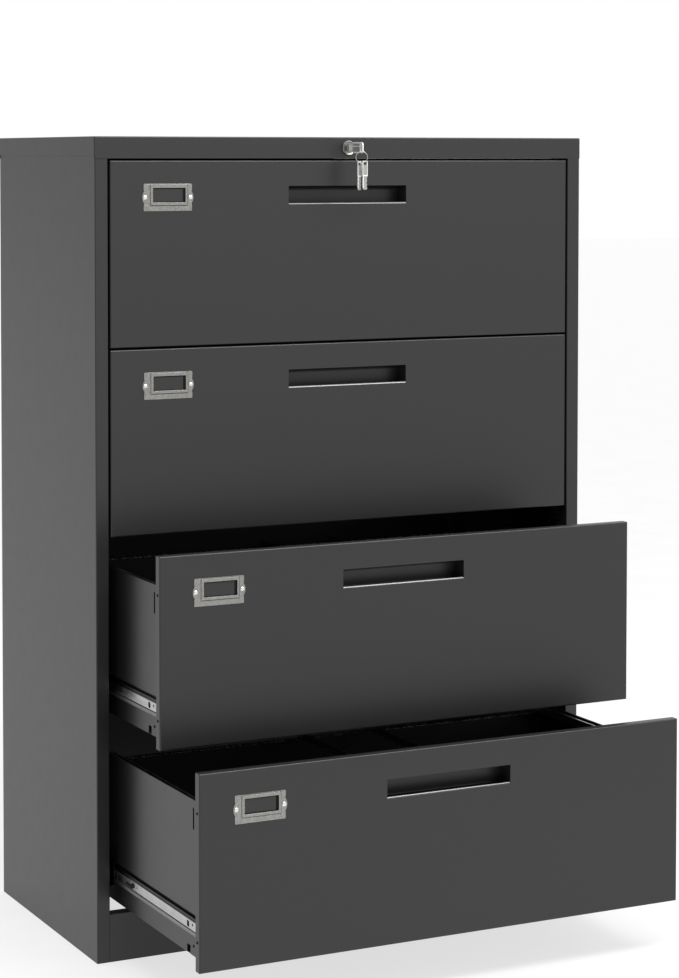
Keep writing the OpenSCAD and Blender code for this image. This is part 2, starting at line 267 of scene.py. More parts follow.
def turned(name, colour, roughness, centre):
    """Metal turned on a lathe about a front to back axis: fine rings round that axis."""
    g = Graph(name)
    flat = g.add("ShaderNodeVectorMath", operation="MULTIPLY_ADD")
    flat.inputs[1].default_value = (1, 0, 1)
    flat.inputs[2].default_value = (-centre.x, 0, -centre.z)
    g.link(g.place, flat.inputs[0])
    radius = g.add("ShaderNodeVectorMath", operation="LENGTH")
    g.link(flat.outputs["Vector"], radius.inputs[0])
    rings = g.add("ShaderNodeTexNoise", noise_dimensions="1D")
    rings.inputs["Scale"].default_value = 2600
    rings.inputs["Detail"].default_value = 3
    g.link(radius.outputs["Value"], rings.inputs["W"])
    g.feed(g.bump(rings.outputs["Fac"], 0.00012, 0.9), "Normal")
    g.feed(g.shades(g.noise(150, 3.0), tint(colour, 0.88), tint(colour, 1.08)), "Base Color")
    g.feed(g.spread(rings.outputs["Fac"], roughness - 0.05, roughness + 0.05), "Roughness")
    g.set(Metallic=1.0)
    return g.material


def make_materials():
    charcoal = (0.0095, 0.0096, 0.0100)
    lo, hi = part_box("lock_cylinder")
    return {
        "paint": powder_coat("charcoal_powder_coat", charcoal, 0.37),
        # A darker copy of the charcoal coat, as painted shade, for parts that sit inside: the base
        # frame, slide posts, and the drawers' inner fronts, bottoms and backs.
        "dark_paint": powder_coat("shaded_powder_coat", tint(charcoal, 0.85), 0.40),
        "side_paint": powder_coat("satin_charcoal_coat", charcoal, 0.31, 0.44),
        "worn_edge": powder_coat("worn_charcoal_edge", charcoal, 0.22, 1.0),
        "zinc": plated("bright_zinc", (0.45, 0.45, 0.45), 0.25, (1, 0.03, 1)),
        # A darker zinc for the lower tracks than for the web.
        "track": plated("dim_zinc_track", (0.23, 0.23, 0.23), 0.38, (1, 0.03, 1)),
        # Zinc darkened nearly to black, as painted shade: for the upper tracks under the top flange,
        # and the middle and outer members in the cabinet's shadow.
        "shaded_zinc": plated("painted_shade_track", (0.030, 0.030, 0.029), 0.32, (1, 0.05, 1)),
        "nickel": plated("satin_nickel", (0.29, 0.286, 0.273), 0.34, (0.2, 1, 1), 420.0, mottle=0.24),
        "bright": plated("polished_nickel", (0.74, 0.73, 0.71), 0.34, (1, 1, 1), 120.0, 0.00001),
        "turned": turned("turned_nickel", (0.27, 0.266, 0.255), 0.20, (lo + hi) / 2),
        "ring_steel": plated("ring_steel", (0.42, 0.415, 0.405), 0.34, (1, 1, 1), 150.0, 0.00002, 0.7),
        # The keys' one nickel in two copies: a bright one, a painted highlight for the rims and edges,
        # and a darker one, painted shade, for the flat faces.
        "key_painted_highlight": plated("key_metal_painted_highlight", (0.85, 0.84, 0.82), 0.30, (1, 1, 1), 150.0, 0.00002, 0.35),
        "key_painted_shade": plated("key_metal_painted_shade", (0.30, 0.296, 0.287), 0.36, (1, 1, 1), 150.0, 0.00003,
                           0.4),
        # Black for the levers and screws, and painted shade for the liner behind each label window.
        "black_and_shade": powder_coat("black_plastic_and_painted_shade", (0.005, 0.005, 0.005), 0.6, 0.12),
    }


# ---------------------------------------------------------------- outlines
def rounded(points, radii, steps=4):
    """The closed outline through points, with each corner turned at its own radius."""
    out = []
    count = len(points)
    for i, here in enumerate(points):
        radius = radii[i] if isinstance(radii, (list, tuple)) else radii
        here = Vector(here)
        back = (Vector(points[i - 1]) - here)
        ahead = (Vector(points[(i + 1) % count]) - here)
        a, b = back.normalized(), ahead.normalized()
        angle = a.angle(b)
        if radius <= 0 or angle > math.pi - 0.01:
            out.append(here)
            continue
        reach = min(radius / math.tan(angle / 2), back.length * 0.49, ahead.length * 0.49)
        radius = reach * math.tan(angle / 2)
        centre = here + (a + b).normalized() * radius / math.sin(angle / 2)
        first, last = here + a * reach - centre, here + b * reach - centre
        turn = first.angle_signed(last)
        for k in range(steps + 1):
            part = -turn * k / steps
            c, s = math.cos(part), math.sin(part)
            out.append(centre + Vector((first.x * c - first.y * s, first.x * s + first.y * c)))
    return out


def sheet_outline(path, thickness=SHEET, bend=BEND):
    """The outline of a sheet folded along path, which lies to the left of the path."""
    path = [Vector(p) for p in path]
    steps = [(b - a).normalized() for a, b in zip(path, path[1:])]
    far, near_radii, far_radii = [], [], []
    for i, p in enumerate(path):
        before, after = steps[max(i - 1, 0)], steps[min(i, len(steps) - 1)]
        n0, n1 = Vector((-before.y, before.x)), Vector((-after.y, after.x))
        middle = (n0 + n1).normalized()
        far.append(p + middle * thickness / middle.dot(n0))
        turn = before.x * after.y - before.y * after.x
        near_radii.append(0 if abs(turn) < 1e-6 else bend + (thickness if turn > 0 else 0))
        far_radii.append(0 if abs(turn) < 1e-6 else bend + (0 if turn > 0 else thickness))
    near = [tuple(p) for p in path]
    far = [tuple(p) for p in far]
    return rounded(near + far[::-1], near_radii + far_radii[::-1])


def rectangle(x0, y0, x1, y1, radius=0.0, steps=4):
    corners = [(x0, y0), (x1, y0), (x1, y1), (x0, y1)]
    return rounded(corners, radius, steps) if radius else [Vector(c) for c in corners]


def circle(x, y, radius, sides=32):
    return [Vector((x + radius * math.cos(2 * math.pi * k / sides),
                    y + radius * math.sin(2 * math.pi * k / sides))) for k in range(sides)]


# ---------------------------------------------------------------- solids
ALONG = {
    "z": Matrix(((1, 0, 0), (0, 1, 0), (0, 0, 1))).to_4x4(),
    "x": Matrix(((0, 0, 1), (1, 0, 0), (0, 1, 0))).to_4x4(),
    "y": Matrix(((1, 0, 0), (0, 0, -1), (0, 1, 0))).to_4x4(),
}


def area_of(loop):
    return sum(a.x * b.y - b.x * a.y for a, b in zip(loop, loop[1:] + loop[:1])) / 2


def slab(loops, start, stop, along="z", edge=0.15 * MM, rounds=2):
    """A solid with the outline loops[0] and the holes loops[1:], from start to stop along one
    axis, with rounded edges. The outline is (x, y), (y, z) or (x, z) for along z, x or y."""
    if along == "y":
        start, stop = -stop, -start
    curve = bpy.data.curves.new("outline", "CURVE")
    curve.dimensions = "2D"
    curve.fill_mode = "BOTH"
    curve.extrude = (stop - start) / 2 - edge
    curve.bevel_depth = edge
    curve.bevel_resolution = rounds - 1
    curve.offset = -edge
    for i, loop in enumerate(loops):
        loop = [Vector(p[:2]) for p in loop]
        if (area_of(loop) > 0) != (i == 0):
            loop = loop[::-1]
        spline = curve.splines.new("POLY")
        spline.points.add(len(loop) - 1)
        for point, p in zip(spline.points, loop):
            point.co = (p.x, p.y, 0, 1)
        spline.use_cyclic_u = True
    holder = bpy.data.objects.new("outline", curve)
    bpy.context.collection.objects.link(holder)
    seen = holder.evaluated_get(bpy.context.evaluated_depsgraph_get())
    mesh = bpy.data.meshes.new_from_object(seen)
    bpy.data.objects.remove(holder)
    bpy.data.curves.remove(curve)
    bm = bmesh.new()
    bm.from_mesh(mesh)
    bpy.data.meshes.remove(mesh)
    bmesh.ops.remove_doubles(bm, verts=bm.verts, dist=1e-6)
    bmesh.ops.dissolve_degenerate(bm, edges=bm.edges, dist=1e-7)
    bmesh.ops.transform(bm, matrix=ALONG[along] @ Matrix.Translation((0, 0, (start + stop) / 2)),
                        verts=bm.verts)
    bmesh.ops.recalc_face_normals(bm, faces=bm.faces)
    return bm


def join(*parts):
    whole = bmesh.new()
    for part in parts:
        mesh = bpy.data.meshes.new("part")
        part.to_mesh(mesh)
        part.free()
        whole.from_mesh(mesh)
        bpy.data.meshes.remove(mesh)
    return whole


def shift(part, x=0.0, y=0.0, z=0.0):
    bmesh.ops.translate(part, vec=(x, y, z), verts=part.verts)
    return part


def mirror_x(part):
    bmesh.ops.scale(part, vec=(-1, 1, 1), verts=part.verts)
    bmesh.ops.reverse_faces(part, faces=part.faces)
    return part


def lathe(profile, at, along="y", sides=48):
    """A turned solid: profile is (radius, distance) from one end of the axis to the other."""
    bm = bmesh.new()
    rows = []
    for radius, distance in profile:
        if radius <= 0:
            rows.append([bm.verts.new((0, 0, distance))])
            continue
        rows.append([bm.verts.new((radius * math.cos(2 * math.pi * k / sides),
                                   radius * math.sin(2 * math.pi * k / sides), distance))
                     for k in range(sides)])
    for low, high in zip(rows, rows[1:]):
        for k in range(sides):
            m = (k + 1) % sides
            corners = [low[k % len(low)], low[m % len(low)], high[m % len(high)], high[k % len(high)]]
            unique = list(dict.fromkeys(corners))
            if len(unique) > 2:
                bm.faces.new(unique)
    bmesh.ops.transform(bm, matrix=Matrix.Translation(at) @ ALONG[along], verts=bm.verts)
    bmesh.ops.recalc_face_normals(bm, faces=bm.faces)
    return bm


def piece(name, bm, material, body, replaces=(), smooth=35.0):
    mesh = bpy.data.meshes.new(name)
    bm.to_mesh(mesh)
    bm.free()
    mesh.shade_smooth()
    mesh.set_sharp_from_angle(angle=math.radians(smooth))
    obj = bpy.data.objects.new(name, mesh)
    bpy.context.collection.objects.link(obj)
    mesh.materials.append(MATERIALS[material])
    fair = obj.modifiers.new("even_normals", "WEIGHTED_NORMAL")
    fair.keep_sharp = True
    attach(obj, body)
    if replaces:
        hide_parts(*replaces)
    return obj


# ---------------------------------------------------------------- pans: fronts and the cap
def ring_points(x0, x1, z0, z1, inset, radius, steps=3):
    """A rectangle inset by some amount, with rounded corners, always with as many points."""
    radius = max(radius - inset, 0.1 * MM)
    return rectangle(x0 + inset, z0 + inset, x1 - inset, z1 - inset, radius, steps)


def pan(x0, x1, z0, z1, depth, thickness=SHEET, bend=BEND, corner=1.0 * MM, hole=None):
    """An open pan: its face at y = 0 looks along -y, and its four edges fold back to y = depth.
    hole is (x0, x1, z0, z1) of a rectangular opening in the face."""
    outer_bend = bend + thickness
    turn = [k * math.pi / 8 for k in range(5)]
    profile = [(outer_bend * (1 - math.sin(a)), outer_bend * (1 - math.cos(a))) for a in turn]
    profile += [(0, depth - 0.1 * MM), (0.1 * MM, depth), (thickness - 0.1 * MM, depth)]
    profile += [(thickness, depth - 0.1 * MM)]
    profile += [(thickness + bend * (1 - math.sin(a)), thickness + bend * (1 - math.cos(a)))
                for a in reversed(turn)]
    bm = bmesh.new()

    def add_ring(box, inset, y, radius):
        return [bm.verts.new((p.x, y, p.y)) for p in ring_points(*box, inset, radius)]

    def strip(first, second):
        for k in range(len(first)):
            m = (k + 1) % len(first)
            bm.faces.new((first[k], first[m], second[m], second[k]))

    box = (x0, x1, z0, z1)
    rings = [add_ring(box, inset, y, corner) for inset, y in profile]
    for first, second in zip(rings, rings[1:]):
        strip(first, second)
    if hole:
        lip = [add_ring(hole, -inset, y, 1.2 * MM)
               for inset, y in ((0.3 * MM, 0), (0, 0.3 * MM), (0, thickness))]
        strip(lip[0], rings[0])
        strip(lip[1], lip[0])
        strip(lip[2], lip[1])
        strip(rings[-1], lip[2])
    else:
        bm.faces.new(rings[0])
        bm.faces.new(rings[-1])
    bmesh.ops.recalc_face_normals(bm, faces=bm.faces)
    return bm


def build_cap():
    """The top cap is a pan that faces up, with shorter lips at the two sides."""
    lo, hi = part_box("top_cap")
    thickness, short = 1.0 * MM, 5.0 * MM
    bm = pan(lo.x, hi.x, lo.y, hi.y, hi.z - lo.z, thickness, BEND, 1.5 * MM)
    side_step = 3.0 * MM
    for v in bm.verts:
        v.co = Vector((v.co.x, v.co.z, hi.z - v.co.y))
    bmesh.ops.reverse_faces(bm, faces=bm.faces)
    for y in (lo.y + side_step, hi.y - side_step):
        for inward in (0.0, 0.4 * MM):
            where = y + (inward if y < 0 else -inward)
            everything = list(bm.verts) + list(bm.edges) + list(bm.faces)
            bmesh.ops.bisect_plane(bm, geom=everything, plane_co=(0, where, 0), plane_no=(0, 1, 0))
    inner = (lo.y + side_step + 0.2 * MM, hi.y - side_step - 0.2 * MM)
    for v in bm.verts:
        if inner[0] < v.co.y < inner[1] and v.co.z < lo.z + 1.0 * MM:
            v.co.z += short
    bmesh.ops.recalc_face_normals(bm, faces=bm.faces)
    piece("cap_shell", bm, "paint", "cabinet", replaces=("top_cap",))


# ---------------------------------------------------------------- cabinet body
def build_sides():
    """Each side is one sheet, folded into the front stile and into a flange at the back."""
    for name, sign in (("side_panel_left", -1), ("side_panel_right", 1)):
        lo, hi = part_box(name)
        out, inn = (lo.x, hi.x) if sign < 0 else (hi.x, lo.x)
        stile_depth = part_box("kick_rail")[1].y - lo.y
        flange = 15 * MM
        path = [(inn, lo.y + stile_depth), (inn, lo.y), (out, lo.y), (out, hi.y),
                (out - sign * flange, hi.y)]
        if sign > 0:
            path = path[::-1]
            path = [(-x, y) for x, y in path]
            outline = [Vector((-p.x, p.y)) for p in sheet_outline(path[::-1])]
            bm = slab([outline], lo.z, hi.z)
        else:
            bm = slab([sheet_outline(path[::-1])], lo.z, hi.z)
        piece("side_shell_left" if sign < 0 else "side_shell_right", bm, "paint", "cabinet",
              replaces=(name,))


def build_kick():
    """The kick plate's folded sheet, whose ends go a little way into the folds beside it."""
    lo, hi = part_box("kick_rail")
    down, into = 12 * MM, 0.6 * MM
    path = [(lo.y, lo.z), (lo.y, hi.z), (hi.y, hi.z), (hi.y, hi.z - down)]
    outline = sheet_outline(path[::-1])
    bm = slab([outline], lo.x - into, hi.x + into, "x", edge=0.02 * MM)
    piece("kick_plate", bm, "paint", "cabinet", replaces=("kick_rail",))


def dress(node, material, edge=0.25 * MM):
    """Gives a CAD node its material, and soft edges where its sheet is thick enough."""
    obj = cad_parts[node]
    obj.data.materials.clear()
    obj.data.materials.append(MATERIALS[material])
    if edge:
        soft = obj.modifiers.new("soft_edges", "BEVEL")
        soft.width = edge
        soft.segments = 2
        soft.limit_method = "ANGLE"
        soft.angle_limit = math.radians(40)
        soft.harden_normals = True
    return obj


# ---------------------------------------------------------------- drawers
def build_front(n):
    lo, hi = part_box(f"front_{n}")
    cup_lo, cup_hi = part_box(f"pull_cup_{n}")
    hole = (cup_lo.x + PULL_FLANGE, cup_hi.x - PULL_FLANGE, pull_base(n) - PULL_LIP,
            cup_hi.z - PULL_FLANGE)
    bm = pan(lo.x, hi.x, lo.z, hi.z, hi.y - lo.y, bend=FRONT_BEND, hole=hole)
    piece(f"drawer_front_{n}", shift(bm, y=lo.y), "paint", f"drawer_{n}", replaces=(f"front_{n}",))


def pull_base(n):
    """The height of the lower edge of the pull's opening."""
    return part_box(f"pull_cup_{n}")[1].z - PULL_FLANGE - PULL_HEIGHT


def build_pull(n):
    """The finger recess: a bevelled lower lip, a sunken floor, a round-cornered back, two ends."""
    lo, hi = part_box(f"pull_cup_{n}")
    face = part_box(f"front_{n}")[0].y
    x0, x1 = lo.x + PULL_FLANGE, hi.x - PULL_FLANGE
    base, depth = pull_base(n), hi.y - face - SHEET
    low, high = -6 * MM, PULL_HEIGHT
    low_bend, high_bend = 2 * MM, 10 * MM
    start, ledge, under = 0.6 * MM, 4.2 * MM, -1.2 * MM
    inside = [(ledge, -0.3 * MM), (ledge + SHEET, under), (ledge + SHEET, low),
              (depth, low), (depth, high), (start, high)]
    outside = [(start, high + SHEET), (depth + SHEET, high + SHEET), (depth + SHEET, low - SHEET),
               (ledge, low - SHEET)]
    bends = [0, 0, 1 * MM, low_bend, high_bend, 0]
    bends += [0, high_bend + SHEET, low_bend + SHEET, 1 * MM + SHEET]
    band = slab([rounded(inside + outside, bends, 8)], x0, x1, "x", edge=0.01 * MM)
    wall = [(start, -PULL_LIP), (ledge, -0.5 * MM), (ledge, low - SHEET), (depth + SHEET, low - SHEET),
            (depth + SHEET, high + SHEET), (start, high + SHEET)]
    wall = rounded(wall, [0, 0, 1 * MM + SHEET, low_bend + SHEET, high_bend + SHEET, 0], 8)
    ends = [slab([wall], a, b, "x", edge=0.05 * MM)
            for a, b in ((x0 - SHEET, x0 + 0.01 * MM), (x1 - 0.01 * MM, x1 + SHEET))]
    piece(f"finger_pull_{n}", shift(join(band, *ends), y=face, z=base), "paint", f"drawer_{n}",
          replaces=(f"pull_cup_{n}",))

    bevel = [(0, -PULL_LIP), (0.55 * MM, -1.5 * MM), (1.6 * MM, -0.3 * MM), (2.2 * MM, 0),
             (2.8 * MM, 0), (ledge, -0.3 * MM), (ledge, under), (start + 0.8 * MM, -PULL_LIP)]
    lip = slab([[Vector(p) for p in bevel]], x0, x1, "x", edge=0.01 * MM)
    piece(f"pull_lip_{n}", shift(lip, y=face, z=base), "worn_edge", f"drawer_{n}")


def build_label(n):
    """The label holder: an eared plate with a hollow raised frame round its window."""
    lo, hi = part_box(f"label_holder_{n}")
    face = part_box(f"front_{n}")[0].y
    cx, cz = (lo.x + hi.x) / 2, (lo.z + hi.z) / 2
    half_h = (hi.z - lo.z) / 2
    ear_out = 2.5 * MM
    half_w = (hi.x - lo.x) / 2 - ear_out
    proud = face - lo.y
    plate_t, frame_t = 1.0 * MM, 0.8 * MM

    def ear(sign):
        """Half an edge: a small hollow, the broad bulge of the ear, and a hollow again."""
        reach, dip = 8.5 * MM, 0.9 * MM
        radius = (reach ** 2 + ear_out ** 2) / (2 * ear_out)
        spread = math.asin(reach / radius)
        middle = half_w + ear_out - radius
        bulge = [(middle + radius * math.cos(a), radius * math.sin(a))
                 for a in (-spread + 2 * spread * k / 12 for k in range(13))]
        edge = [(half_w, -reach - 4 * dip), (half_w - dip, -reach - 1.4 * dip)]
        edge += bulge + [(half_w - dip, reach + 1.4 * dip), (half_w, reach + 4 * dip)]
        return [(sign * x, sign * z) for x, z in edge]

    corner = 1.8 * MM
    ear_radii = [1.5 * MM, 1.5 * MM, 0.8 * MM] + [0] * 11 + [0.8 * MM, 1.5 * MM, 1.5 * MM]
    outline = rounded([(-half_w, -half_h), (half_w, -half_h)] + ear(1) +
                      [(half_w, half_h), (-half_w, half_h)] + ear(-1),
                      [corner, corner] + ear_radii + [corner, corner] + ear_radii)
    frame_box = (-30.6 * MM, -12.6 * MM, 33.6 * MM, 20.6 * MM)
    inner_box = (frame_box[0] + frame_t, frame_box[1] + frame_t,
                 frame_box[2] - frame_t, frame_box[3] - frame_t)
    outer, inner = rectangle(*frame_box, 1.4 * MM), rectangle(*inner_box, 0.7 * MM)
    window = rectangle(-26.2 * MM, -8.0 * MM, 30.1 * MM, 15.2 * MM, 0.6 * MM)
    crease = rectangle(frame_box[0] + 0.3 * MM, frame_box[1] - 0.9 * MM,
                       frame_box[2] + 0.9 * MM, frame_box[3] + 0.3 * MM, 1.4 * MM)
    plate = slab([outline, crease], -plate_t, 0, "y", edge=0.3 * MM)
    walls = slab([outer, inner], -proud + 0.3 * MM, -0.1 * MM, "y", edge=0.05 * MM)
    rim = slab([outer, window], -proud, -proud + frame_t, "y", edge=0.36 * MM, rounds=4)
    piece(f"label_frame_{n}", shift(join(plate, walls, rim), cx, face, cz), "nickel", f"drawer_{n}",
          replaces=(f"label_holder_{n}",))

    # A black frame behind the window, for painted shade: it stands for the shadow in the holder's
    # pocket round the window's edges.
    shade_liner = [rectangle(-30.5 * MM, -13.7 * MM, 34.7 * MM, 21.0 * MM, 0.6 * MM),
             rectangle(-25.4 * MM, -7.0 * MM, 26.4 * MM, 13.8 * MM, 0.6 * MM)]
    shade_liner = slab(shade_liner, -0.7 * MM, -0.1 * MM, "y", edge=0.1 * MM)
    piece(f"painted_shade_liner_{n}", shift(shade_liner, cx, face, cz), "black_and_shade", f"drawer_{n}")

    heads = []
    for sign in (-1, 1):
        radius, height = 3.7 * MM, proud - plate_t - 0.05 * MM
        dome = [(0, -plate_t - height)]
        dome += [(radius * math.sin(a), -plate_t - height * math.cos(a))
                 for a in (k * math.pi / 16 for k in range(1, 9))]
        dome += [(radius, -plate_t + 0.1 * MM), (0, -plate_t + 0.1 * MM)]
        spot = (cx + sign * (half_w - 2.6 * MM), face, cz)
        heads.append(lathe([(r, -d) for r, d in dome], spot, "y", 32))
    piece(f"label_rivets_{n}", join(*heads), "bright", f"drawer_{n}",
          replaces=(f"front_fasteners_{n}",))


def build_front_screws(n):
    """Small dark screws in the front's side edges and the drawer's sides, and the lock's stud."""
    lo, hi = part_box(f"front_{n}")
    heads = []
    head_r, head_h, behind, side_screw = 2.3 * MM, 0.7 * MM, 8 * MM, 49 * MM
    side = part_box(f"slide_inner_{n}")[1].x - SLIDE_DEPTH
    profile = [(0, 0.25 * MM), (1.0 * MM, 0.25 * MM), (1.1 * MM, head_h), (head_r - 0.3 * MM, head_h),
               (head_r, head_h - 0.3 * MM), (head_r, -0.2 * MM), (0, -0.2 * MM)]
    for z in (lo.z + 45 * MM, hi.z - 60 * MM):
        for sign in (-1, 1):
            x = hi.x if sign > 0 else lo.x
            turned_to = [(r, sign * d) for r, d in profile]
            heads.append(lathe(turned_to, (x, lo.y + behind, z), "x", 20))
    for sign in (-1, 1):
        turned_to = [(r, sign * d) for r, d in profile]
        spot = (sign * side, lo.y + side_screw, lo.z + 27 * MM)
        heads.append(lathe(turned_to, spot, "x", 20))
    piece(f"front_screws_{n}", join(*heads), "black_and_shade", f"drawer_{n}")

    radius, length, neck = 4 * MM, 11.7 * MM, 2.2 * MM
    profile = [(0, 0), (radius, 0), (radius, 1.5 * MM), (neck + 1 * MM, 2 * MM),
               (neck + 1 * MM, length - 2 * MM), (radius, length - 1.6 * MM),
               (radius, length - 0.4 * MM), (radius - 0.4 * MM, length), (0, length)]
    stud = lathe(profile, (side, lo.y + 40 * MM, lo.z + 150 * MM), "x", 32)
    piece(f"catch_stud_{n}", stud, "zinc", f"drawer_{n}")


def build_drawer_sides(n):
    """Side plates with a hemmed top edge, a slot at the bottom, an upright slit, a step at the
    front, and a groove that runs just above the slide."""
    lo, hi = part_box(f"drawer_sides_{n}")
    front_lo, front_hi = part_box(f"front_{n}")
    slide_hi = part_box(f"slide_inner_{n}")[1]
    y0, z0 = front_lo.y, front_lo.z
    start = front_hi.y
    outer = slide_hi.x - SLIDE_DEPTH
    slot_y, slot_w, slot_h = 61 * MM, 12 * MM, 13 * MM
    groove_low = slide_hi.z + 0.2 * MM - UPPER_CUT
    groove_high = groove_low + 3.4 * MM
    groove_deep = 4 * MM
    below = [(start, lo.z), (y0 + slot_y, lo.z), (y0 + slot_y, lo.z + slot_h),
             (y0 + slot_y + slot_w, lo.z + slot_h), (y0 + slot_y + slot_w, lo.z), (hi.y, lo.z),
             (hi.y, groove_low), (start, groove_low)]
    below_radii = [4 * MM, 0.5 * MM, 1 * MM, 1 * MM, 0.5 * MM, 2 * MM, 0, 0]
    above = [(start, groove_high), (hi.y, groove_high), (hi.y, hi.z), (start, hi.z)]
    slit = rectangle(y0 + 46.5 * MM, front_hi.z - 95 * MM, y0 + 51 * MM, front_hi.z - 62 * MM,
                     1 * MM)
    groove = sheet_outline([(outer, groove_low), (outer - groove_deep, groove_low),
                            (outer - groove_deep, groove_high), (outer, groove_high)], SHEET, 0.3 * MM)
    step = sheet_outline([(outer, start), (hi.x, start), (hi.x, y0 + 2 * MM)][::-1])
    for sign, side in ((-1, "left"), (1, "right")):
        parts = [slab([rounded(below, below_radii)], outer - SHEET, outer, "x", edge=0.12 * MM),
                 slab([rounded(above, [0, 0, 2 * MM, 2 * MM]), slit], outer - SHEET, outer, "x",
                      edge=0.12 * MM),
                 slab([groove], start + 2 * MM, hi.y - 2 * MM, "y", edge=0.03 * MM),
                 slab([rectangle(start, hi.z - 10 * MM, hi.y, hi.z - 0.1 * MM, 1 * MM)],
                      outer - 2.0 * MM, outer - SHEET * 0.9, "x", edge=0.4 * MM),
                 slab([step], z0 + 22 * MM, z0 + 248 * MM, "z", edge=0.1 * MM)]
        bm = join(*parts)
        if sign < 0:
            bm = mirror_x(bm)
        piece(f"drawer_side_{side}_{n}", bm, "side_paint", f"drawer_{n}",
              replaces=(f"drawer_sides_{n}",))


# ---------------------------------------------------------------- slides
def channel(x_web, x_lip, z_mid, height, thickness, y0, y1):
    """A slide member: a flat web, and two flanges curled like a ball race."""
    side = 1 if x_lip > x_web else -1
    half = height / 2
    web = slab([rectangle(y0, z_mid - half + 2.2 * MM, y1, z_mid + half - 2.2 * MM)],
               min(x_web, x_web + side * thickness), max(x_web, x_web + side * thickness),
               "x", edge=0.08 * MM)
    parts = [web]
    reach = abs(x_lip - x_web)
    for up in (-1, 1):
        path = [(x_web, z_mid + up * (half - 2.6 * MM)), (x_web, z_mid + up * half),
                (x_web + side * reach, z_mid + up * half),
                (x_web + side * reach, z_mid + up * (half - 1.6 * MM))]
        keep_left = (side > 0) == (up > 0)
        line = path if not keep_left else path[::-1]
        curl = sheet_outline(line, thickness, 1.1 * MM)
        parts.append(slab([curl], y0, y1, "y", edge=0.08 * MM))
    return join(*parts)


def on_both_sides(make):
    """Joins a right-hand part and its mirror image."""
    return join(make(), mirror_x(make()))


def build_inner_slide(n):
    """The member on the drawer: a bright raised web with holes, between two ball tracks."""
    lo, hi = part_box(f"slide_inner_{n}")
    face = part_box(f"front_{n}")[0].y
    back, out = hi.x - SLIDE_DEPTH, hi.x
    middle, half = (lo.z + hi.z) / 2, (hi.z - lo.z) / 2
    web_half, gap = 7.0 * MM, 1.2 * MM
    web_out = back + 3.6 * MM
    slot = rectangle(face + 58 * MM, middle - 5.0 * MM, face + 66 * MM, middle + 4.2 * MM, 2.4 * MM)
    hole = circle(face + 45 * MM, middle + 1.5 * MM, 2.1 * MM, 20)
    far = circle(face + 262 * MM, middle + 0.5 * MM, 1.8 * MM, 20)

    def web():
        outline = rectangle(lo.y, middle - web_half, hi.y, middle + web_half, 1 * MM)
        return slab([outline, slot, hole, far], back + 0.6 * MM, web_out, "x", edge=0.3 * MM)

    def track(low, high, out_low, out_high):
        """A strip whose outer side leans, and hollows into a race along its middle."""
        sag = 0.5 * MM
        steps = [k / 6 for k in range(7)]
        curve = [(out_low + (out_high - out_low) * t - 4 * sag * t * (1 - t), low + (high - low) * t)
                 for t in steps]
        return slab([[Vector(p) for p in [(back + 0.2 * MM, low)] + curve + [(back + 0.2 * MM, high)]]],
                    lo.y, hi.y, "y", edge=0.05 * MM)

    piece(f"inner_slide_{n}", on_both_sides(web), "zinc", f"drawer_{n}",
          replaces=(f"slide_inner_{n}",))
    upper = on_both_sides(lambda: track(middle + web_half + 0.1 * MM, middle + half - UPPER_CUT,
                                        out - 0.6 * MM, back + 2.6 * MM))
    lower = on_both_sides(lambda: track(middle - half, middle - web_half - gap, out, out - 0.4 * MM))
    # The upper track is painted near black, for the shadow under the top flange.
    piece(f"upper_track_{n}", upper, "shaded_zinc", f"drawer_{n}")
    piece(f"lower_track_{n}", lower, "track", f"drawer_{n}")

    a, b = face + 272 * MM, face + 306 * MM
    low = middle - 3 * MM
    shape = rounded([(a, low + 1 * MM), (a + 9 * MM, low - 3 * MM), (b, low - 2 * MM),
                     (b, low + 3 * MM), (a + 12 * MM, low + 3 * MM), (a + 8 * MM, low + 7 * MM),
                     (a + 1 * MM, low + 7 * MM)], 1.0 * MM)
    levers = on_both_sides(
        lambda: slab([shape], web_out - 0.1 * MM, web_out + 0.8 * MM, "x", edge=0.3 * MM))
    piece(f"release_lever_{n}", levers, "black_and_shade", f"drawer_{n}")


def build_middle_slide(n):
    """The members between the cabinet's and the drawer's, which travel half as far."""
    lo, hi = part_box(f"slide_middle_{n}")
    middle = (lo.z + hi.z) / 2
    # Painted near black, for the shade the middle members sit in.
    both = on_both_sides(
        lambda: channel(hi.x, hi.x - 4.6 * MM, middle, hi.z - lo.z, 1.0 * MM, lo.y, hi.y))
    piece(f"middle_slide_{n}", both, "shaded_zinc", f"slide_middle_{n}",
          replaces=(f"slide_middle_{n}",))


def build_outer_slides():
    lo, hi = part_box("slides_outer")
    height = 45.5 * MM
    members = []
    for n in DRAWERS:
        inner_lo, inner_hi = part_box(f"slide_inner_{n}")
        middle = (inner_lo.z + inner_hi.z) / 2
        members.append(on_both_sides(
            lambda: channel(hi.x, hi.x - 9.7 * MM, middle, height, 1.2 * MM, lo.y, hi.y)))
    # Painted near black, like the middle members, for the shade inside the cabinet.
    piece("outer_slides", join(*members), "shaded_zinc", "cabinet", replaces=("slides_outer",))


